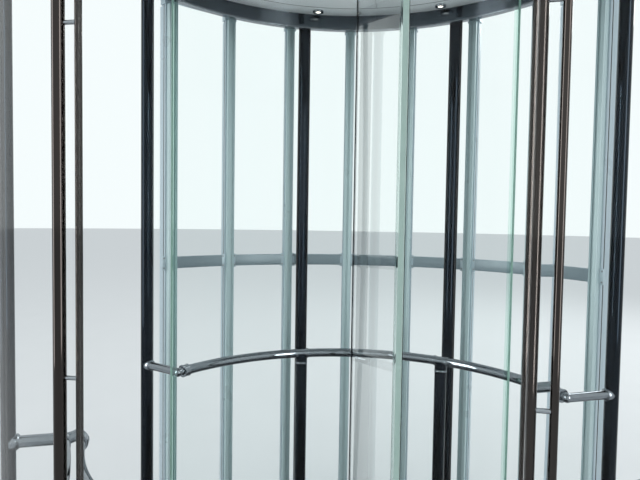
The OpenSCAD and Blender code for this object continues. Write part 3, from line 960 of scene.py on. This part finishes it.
def roof_seams():
    """Standing seams of the roof's sheets, the cap where they meet, and the edge fold."""
    seam = bar(SEAM_W, SEAM_H, ROOF_R - SEAM_SHORT, FULL_EDGE, FULL_EDGE)
    parts = copies(seam, [spot((i + 0.5) * PANEL_A, SEAM_START_R, ROOF_TOP + SEAM_LIFT, facing=OUTWARDS)
                          for i in range(PANEL_COUNT)])
    parts.append(turned([(radius, ROOF_TOP + lift) for radius, lift in ROOF_CAP], FINE_SIDES))
    parts.append(ring(FOLD, FOLD, ROOF_R - FOLD_IN, ROOF_TOP - FOLD_DROP, FULL_EDGE))
    finish_piece(parts, "roof_seams", "drum", ROOF_SHEET)


# Screen behind the back wall

FIN_W = 0.044
FIN_T = 0.028
CAP_W = 0.040
CAP_T = 0.028
CAP_EDGE = 0.004
END_CLEAR = 0.002
SHARED_T = 0.0005
BAR_COVER_OVER = 0.0015
BAR_COVER_CLEAR_A = 1.25
PLATE_W = 0.08
PLATE_T = 0.003
PLATE_H = 0.07
PLATE_OUT = 0.0008
PLATE_SCREW_OUT = 0.0023
PLATE_SCREW_ASIDE = 0.032
PLATE_SCREW_UP = 0.024
SHOE_SCREW_ASIDE = 0.016
SEAL_W = 0.004
SEAL_T = 0.0052
SEAL_ASIDE = 0.0235


def grooved_bars(width, depth, rounding, side, margin, groove):
    """Bars along the mullions between their shoes, outside (side 1) or inside (side -1), each grooved."""
    model = bar(width, depth, WALL_H - 2 * MULLION_SHOE_H - 2 * END_CLEAR, rounding)
    work_on_faces(model, lambda normal: side * normal.y > STRAIGHT,
                  lambda: bpy.ops.mesh.inset(thickness=margin),
                  lambda: bpy.ops.mesh.extrude_region_move(
                      TRANSFORM_OT_translate={"value": (0, -side * groove, 0)}))
    middle_r = SCREEN_R + side * (MULLION_T / 2 + depth / 2 - SHARED_T)
    return copies(model, [spot(angle, middle_r, SILL_TOP + MULLION_SHOE_H + END_CLEAR)
                          for angle in MULLION_ANGLES])


def mullion_fins():
    """The deeper outer part of each mullion, with a groove down its back."""
    fins = grooved_bars(FIN_W, FIN_T, FULL_EDGE, side=1, margin=0.010, groove=0.004)
    finish_piece(fins, "mullion_fins", "drum", ALUMINIUM)


def mullion_caps():
    """The slim inner cap of each mullion, clipped on between its shoes, with a line along its nose."""
    caps = grooved_bars(CAP_W, CAP_T, CAP_EDGE, side=-1, margin=0.014, groove=0.0015)
    finish_piece(caps, "mullion_caps", "drum", CAP_METAL_PAINTED_LIGHT)


def cross_bar_shade_sleeves():
    """A sleeve round the cross bar in each bay, from mullion to mullion, darker than the mullions as painted
    shade.
    """
    over = 2 * BAR_COVER_OVER
    cover = bent_bar(MULLION_T + over, BAR_H + over, SCREEN_R, BAR_Z, BAR_COVER_CLEAR_A,
                     MULLION_STEP - BAR_COVER_CLEAR_A, ROUND_EDGE)
    covers = copies(cover, [spot(angle, 0.0) for angle in MULLION_ANGLES[:-1]])
    finish_piece(covers, "cross_bar_shade_sleeves", "drum", BAR_METAL_PAINTED_SHADE)


def screen_trims():
    """Plates and screws where the cross bar meets the mullions, and black seals along the mullions."""
    inner = SCREEN_R - MULLION_T / 2
    outer = SCREEN_R + MULLION_T / 2
    plate = bar(PLATE_W, PLATE_T, PLATE_H, FINE_EDGE, FINE_EDGE)
    plates = copies(plate, [spot(angle, inner - PLATE_OUT, BAR_Z - PLATE_H / 2)
                            for angle in MULLION_ANGLES])
    finish_piece(plates, "screen_plates", "drum", ALUMINIUM)
    spots = []
    for angle in MULLION_ANGLES:
        for shift in (-PLATE_SCREW_ASIDE, PLATE_SCREW_ASIDE):
            for lift in (-PLATE_SCREW_UP, PLATE_SCREW_UP):
                spots.append(spot(angle, inner - PLATE_SCREW_OUT, BAR_Z + lift, shift, INWARDS))
        for shift in (-SHOE_SCREW_ASIDE, SHOE_SCREW_ASIDE):
            for z in (SILL_TOP + MULLION_SHOE_H / 2, CEILING_Z - MULLION_SHOE_H / 2):
                spots.append(spot(angle, inner - MULLION_SHOE_OUT, z, shift, INWARDS))
                spots.append(spot(angle, outer + MULLION_SHOE_OUT, z, shift, OUTWARDS))
    screws = copies(socket_screw(radius=0.004, height=0.0018), spots)
    finish_piece(screws, "screen_screws", "drum", SILL_STEEL)
    seal = bar(SEAL_W, SEAL_T, WALL_H - 2 * MULLION_SHOE_H, FINE_EDGE)
    seals = copies(seal, [spot(angle, SCREEN_R, SILL_TOP + MULLION_SHOE_H, side * SEAL_ASIDE)
                          for angle in MULLION_ANGLES for side in (-1, 1)])
    finish_piece(seals, "screen_seals", "drum", RUBBER)


# Rotor

WING_BOLT_REACHES = (0.095, 0.195)
EDGE_CLEAR = 0.004
EDGE_SHORT = 0.012
EDGE_START = CLAMP_END + EDGE_CLEAR
EDGE_L = WING_R - CLAMP_END - EDGE_SHORT
EDGE_RAIL_T = 0.004
EDGE_RAIL_H = 0.03
EDGE_RAIL_IN = 0.011
BRUSH_T = 0.008
BRUSH_H = 0.028
LIP_W = 0.024
LIP_T = 0.0015
LIP_OUT = 0.0008
LIP_EDGE = 0.0005
LIP_ENDS = 0.028
LIP_H = WING_TOP - WING_LOW - 2 * LIP_ENDS
LIP_OVER = 0.001
LIP_R = WING_R + LIP_OVER
NOSE_T = 0.002
HUB_BOLT_IN = 0.03
HUB_BOLT_SUNK = 0.0005


def clamp_bolts(angle):
    """Domed bolts through a wing's clamps, on both faces."""
    face = WING_HALF_T + CLAMP_T
    spots = [spot(angle, reach, z, side * face, SIDEWAYS if side > 0 else OTHER_SIDE)
             for z in (WING_LOW + CLAMP_H / 2, WING_TOP - CLAMP_H / 2) for side in (-1, 1)
             for reach in WING_BOLT_REACHES]
    return copies(domed_bolt(radius=0.011, height=0.008), spots)


def wing_trims():
    """Bolts of the clamps, and the edge rails, brushes and clear seals of the three wings."""
    for wing, angle in zip("abc", WING_ANGLES):
        finish_piece(clamp_bolts(angle), f"wing_{wing}_bolts", "rotor", CHROME)
        rails = copies(bar(EDGE_RAIL_T, EDGE_RAIL_H, EDGE_L, FINE_EDGE, FINE_EDGE),
                       [spot(angle, EDGE_START, z, side * (WING_HALF_T + EDGE_RAIL_T / 2), OUTWARDS)
                        for z in (WING_LOW + EDGE_RAIL_IN, WING_TOP - EDGE_RAIL_IN) for side in (-1, 1)])
        finish_piece(rails, f"wing_{wing}_edge_rails", "rotor", CHROME)
        brushes = copies(bar(BRUSH_T, BRUSH_H, EDGE_L, ROUND_EDGE, ROUND_EDGE),
                         [spot(angle, EDGE_START, z, facing=OUTWARDS)
                          for z in (WING_LOW - BRUSH_H / 2, WING_TOP + BRUSH_H / 2)])
        finish_piece(brushes, f"wing_{wing}_brushes", "rotor", BRUSH)
        lips = copies(bar(LIP_T, LIP_W, LIP_H, LIP_EDGE),
                      [spot(angle, LIP_R - LIP_W / 2, WING_LOW + LIP_ENDS, side * (WING_HALF_T + LIP_OUT))
                       for side in (-1, 1)])
        finish_piece(lips, f"wing_{wing}_seal", "rotor", EDGE_GLASS)
        nose = copies(bar(2 * WING_HALF_T, NOSE_T, LIP_H, THIN_EDGE),
                      [spot(angle, LIP_R, WING_LOW + LIP_ENDS)])
        finish_piece(nose, f"wing_{wing}_edge_lip", "rotor", EDGE_LIP)


def hub_bolts():
    """Domed bolts between the wings, round the bottom and the top hub."""
    spots = []
    for hub, z in ((HUB_LOW, HUB_LOW[1][2] - HUB_BOLT_IN), (HUB_HIGH, HUB_HIGH[0][2] + HUB_BOLT_IN)):
        radius = (hub[1][0] - hub[0][0]) / 2
        spots += [spot(angle + WING_STEP / 2, radius - HUB_BOLT_SUNK, z, facing=OUTWARDS)
                  for angle in WING_ANGLES]
    bolts = copies(domed_bolt(radius=0.009, height=0.007), spots)
    finish_piece(bolts, "hub_bolts", "rotor", CHROME)


twin_posts()
post_rings()
bead_screws()
pane_gaskets()
rail_trims()
entrance_mat()
thresholds()
ceiling_trims()
canopy_trims()
roof_seams()
mullion_fins()
mullion_caps()
cross_bar_shade_sleeves()
screen_trims()
wing_trims()
hub_bolts()


# Setting: world, floor, lamps and camera

BACKDROP = (0.94, 0.99, 1.0)
ROOM_LIGHT = (0.95, 0.97, 1.0)
ROOM_STRENGTH = 0.95
STUDIO_R = 60
STUDIO_SIDES = 180
STUDIO_DROP = 0.001
# Each lamp's name, place, size, power and aim
LAMPS = (
    ("key_lamp", (5.0, 6.0, 6.5), (4.0, 4.0), 240, (0, 0, 1.3)),
    ("fill_lamp", (-6.0, -4.0, 5.0), (5.0, 5.0), 90, (0, 0, 1.2)),
    ("right_strip", (4.4, -3.9, 2.55), (1.4, 4.9), 150, (0, 0, 2.55)),
    ("left_strip", (-5.0, -2.9, 2.55), (1.4, 4.9), 150, (0, 0, 2.55)),
)


def pale_world():
    """A pale room. The camera, mirrors and glass see its backdrop, and the object gets its plain light."""
    world = bpy.data.worlds.new("pale_room")
    bpy.context.scene.world = world
    world.use_nodes = True
    tree = world.node_tree
    path = node_in(tree, "ShaderNodeLightPath")
    seen = node_in(tree, "ShaderNodeMath", operation="MAXIMUM")
    seen_all = node_in(tree, "ShaderNodeMath", operation="MAXIMUM")
    lit = node_in(tree, "ShaderNodeBackground")
    lit.inputs["Color"].default_value = (*ROOM_LIGHT, 1)
    lit.inputs["Strength"].default_value = ROOM_STRENGTH
    shown = node_in(tree, "ShaderNodeBackground")
    shown.inputs["Color"].default_value = (*BACKDROP, 1)
    mix = node_in(tree, "ShaderNodeMixShader")
    link = tree.links.new
    link(path.outputs["Is Camera Ray"], seen.inputs[0])
    link(path.outputs["Is Glossy Ray"], seen.inputs[1])
    link(seen.outputs[0], seen_all.inputs[0])
    link(path.outputs["Is Transmission Ray"], seen_all.inputs[1])
    link(seen_all.outputs[0], mix.inputs["Fac"])
    link(lit.outputs["Background"], mix.inputs[1])
    link(shown.outputs["Background"], mix.inputs[2])
    link(mix.outputs["Shader"], tree.nodes["World Output"].inputs["Surface"])


def studio_floor():
    """The pale, dull floor that the door stands on."""
    deselect()
    bpy.ops.mesh.primitive_circle_add(vertices=STUDIO_SIDES, radius=STUDIO_R, fill_type="NGON",
                                      location=(0, 0, -STUDIO_DROP))
    floor = bpy.context.active_object
    floor.name = "studio_floor"
    dull = grained("studio_floor", (0.65, 0.675, 0.68), (0.69, 0.715, 0.72), (0.8, 0.9), scale=3, relief=0.0)
    dull.node_tree.nodes["Principled BSDF"].inputs["Specular IOR Level"].default_value = 0.0
    floor.data.materials.append(dull)


def all_but_glass():
    """A collection of every mesh that isn't glass."""
    group = bpy.data.collections.new("all_but_glass")
    for obj in bpy.context.scene.objects:
        if obj.type == "MESH" and obj.data.materials and obj.data.materials[0] not in GLASSES:
            group.objects.link(obj)
    return group


def lamps():
    """A key and a fill lamp, and two strips that only give highlights, on all but glass."""
    strip_lit = all_but_glass()
    for name, place, size, power, aim in LAMPS:
        deselect()
        bpy.ops.object.light_add(type="AREA", location=place)
        lamp = bpy.context.active_object
        lamp.name = name
        lamp.data.shape = "RECTANGLE"
        lamp.data.size, lamp.data.size_y = size
        lamp.data.energy = power
        lamp.visible_camera = False
        lamp.visible_transmission = False
        lamp.visible_glossy = name != "fill_lamp"
        if name.endswith("strip"):
            lamp.visible_diffuse = False
            lamp.light_linking.receiver_collection = strip_lit
        lamp.rotation_euler = (Vector(aim) - Vector(place)).to_track_quat("-Z", "Y").to_euler()


PHOTO_W = 640
FOCAL_PX = 547.0
SENSOR_MM = 36.0
NEAR_CLIP = 0.02
CAMERA_AT = (0.19, -1.86, 1.636)
CAMERA_YAW = 9.5
CAMERA_PITCH = -2.5
CAMERA_ROLL = 0.87


def camera():
    """The photo's view, fitted to the ring, the rail and the posts."""
    deselect()
    bpy.ops.object.camera_add(location=CAMERA_AT)
    eye = bpy.context.active_object
    eye.data.sensor_width = SENSOR_MM
    eye.data.lens = FOCAL_PX * SENSOR_MM / PHOTO_W
    eye.data.clip_start = NEAR_CLIP
    turn = (Matrix.Rotation(math.radians(CAMERA_YAW), 4, "Z")
            @ Matrix.Rotation(math.radians(90 + CAMERA_PITCH), 4, "X")
            @ Matrix.Rotation(math.radians(CAMERA_ROLL), 4, "Z"))
    eye.rotation_euler = turn.to_euler()
    bpy.context.scene.camera = eye


pale_world()
studio_floor()
lamps()
camera()
bpy.context.scene.view_settings.view_transform = "Standard"
